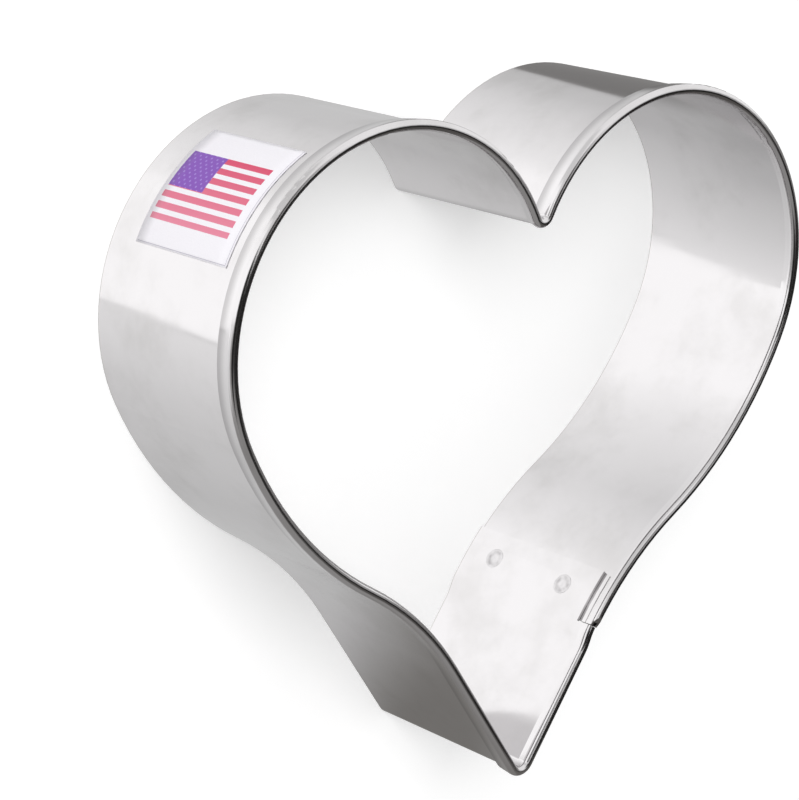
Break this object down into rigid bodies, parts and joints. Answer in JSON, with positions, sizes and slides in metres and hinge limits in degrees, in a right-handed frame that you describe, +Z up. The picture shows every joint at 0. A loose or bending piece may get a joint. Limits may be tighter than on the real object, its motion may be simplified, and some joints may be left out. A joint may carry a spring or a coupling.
{
  "type": "cookie cutter",
  "caption": "Heart-shaped cutter bent from one tinplate strip, with a plain cutting edge, a rolled rim, a spot-welded lap joint and a paper label.",
  "frame": {"origin": "middle of the outline's bounding box, in the plane of the cutting edge", "axes": "+Z up from the cutting edge to the rolled rim, +Y from the heart's tip to its cleft, +X across the lobes"},
  "size_m": [0.082, 0.0742, 0.0222],
  "materials": {
    "tinplate": "bright tin-plated steel, smooth, with faint rolling lines",
    "weld": "pressed and slightly dulled by the weld",
    "label": "white coated paper, printed with rose stripes and a violet corner"
  },
  "bodies": {
    "root": {"cutter_band": "tinplate", "spot_welds": "weld", "label": "label"}
  },
  "joints": []
}
